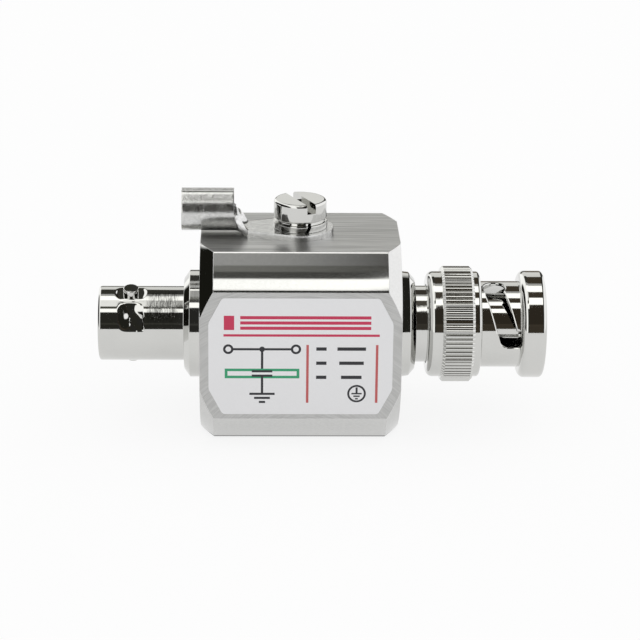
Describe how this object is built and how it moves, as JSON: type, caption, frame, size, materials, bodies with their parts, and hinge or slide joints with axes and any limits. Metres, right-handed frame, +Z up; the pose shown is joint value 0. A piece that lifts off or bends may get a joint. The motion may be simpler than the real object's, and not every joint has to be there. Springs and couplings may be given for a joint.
{
  "type": "coaxial lightning arrestor",
  "caption": "Inline coaxial surge arrestor: square turned metal housing with a bayonet jack, a bayonet plug with coupling nut, an earth lug under a slotted screw and a gas tube inside.",
  "frame": {"origin": "middle of the housing's underside", "axes": "+X along the coaxial axis towards the plug, +Z up towards the earth screw, -Y towards the label"},
  "size_m": [0.0577, 0.0251, 0.0307],
  "materials": {
    "satin_housing": "brushed satin",
    "bright_nickel": "bright nickel plate",
    "tinned_lug": "dull tin plate",
    "gilt_contact": "gold plate",
    "white_insulator": "waxy white",
    "gasket_rubber": "matt",
    "tube_ceramic": "fired ceramic",
    "label_foil": "silver-grey printed foil"
  },
  "bodies": {
    "arrestor": {"housing": "satin_housing", "label": "label_foil", "jack_shell": "bright_nickel", "jack_insulator": "white_insulator", "socket_contact": "gilt_contact", "centre_conductor": "gilt_contact", "pin_contact": "gilt_contact", "plug_body": "bright_nickel", "plug_outer_contact": "bright_nickel", "plug_insulator": "white_insulator", "plug_gasket": "gasket_rubber", "wave_spring": "bright_nickel", "gas_tube_ceramic": "tube_ceramic", "gas_tube_upper_electrode": "bright_nickel", "gas_tube_lower_electrode": "bright_nickel", "disc_spring": "bright_nickel", "tube_cap": "bright_nickel"},
    "float_washer": {"thrust_washer": "bright_nickel"},
    "coupling": {"coupling_nut": "bright_nickel"},
    "lug": {"earth_lug": "tinned_lug"},
    "screw_washer": {"spring_washer": "bright_nickel"},
    "screw": {"earth_screw": "bright_nickel"}
  },
  "joints": [
    {"name": "coupling_float", "type": "slide", "parent": "arrestor", "child": "float_washer", "axis": [1, 0, 0], "range_m": [0, 0.0005], "stiffness_N_per_m": 20000, "deforming": ["wave_spring"]},
    {"name": "coupling_turn", "type": "hinge", "parent": "float_washer", "child": "coupling", "pos_m": [0.024, 0, 0.0125], "axis": [1, 0, 0], "continuous": true},
    {"name": "lug_swivel", "type": "hinge", "parent": "arrestor", "child": "lug", "pos_m": [0, 0, 0.0254], "axis": [0, 0, 1], "continuous": true},
    {"name": "screw_lift", "type": "slide", "parent": "arrestor", "child": "screw_washer", "axis": [0, 0, 1], "range_m": [0, 0.0056]},
    {"name": "screw_turn", "type": "hinge", "parent": "screw_washer", "child": "screw", "pos_m": [0, 0, 0.027], "axis": [0, 0, 1], "range_deg": [0, 2881]}
  ],
  "couplings": [
    {"joint": "screw_turn", "follows": "screw_lift", "rad_per_m": 8976}
  ]
}
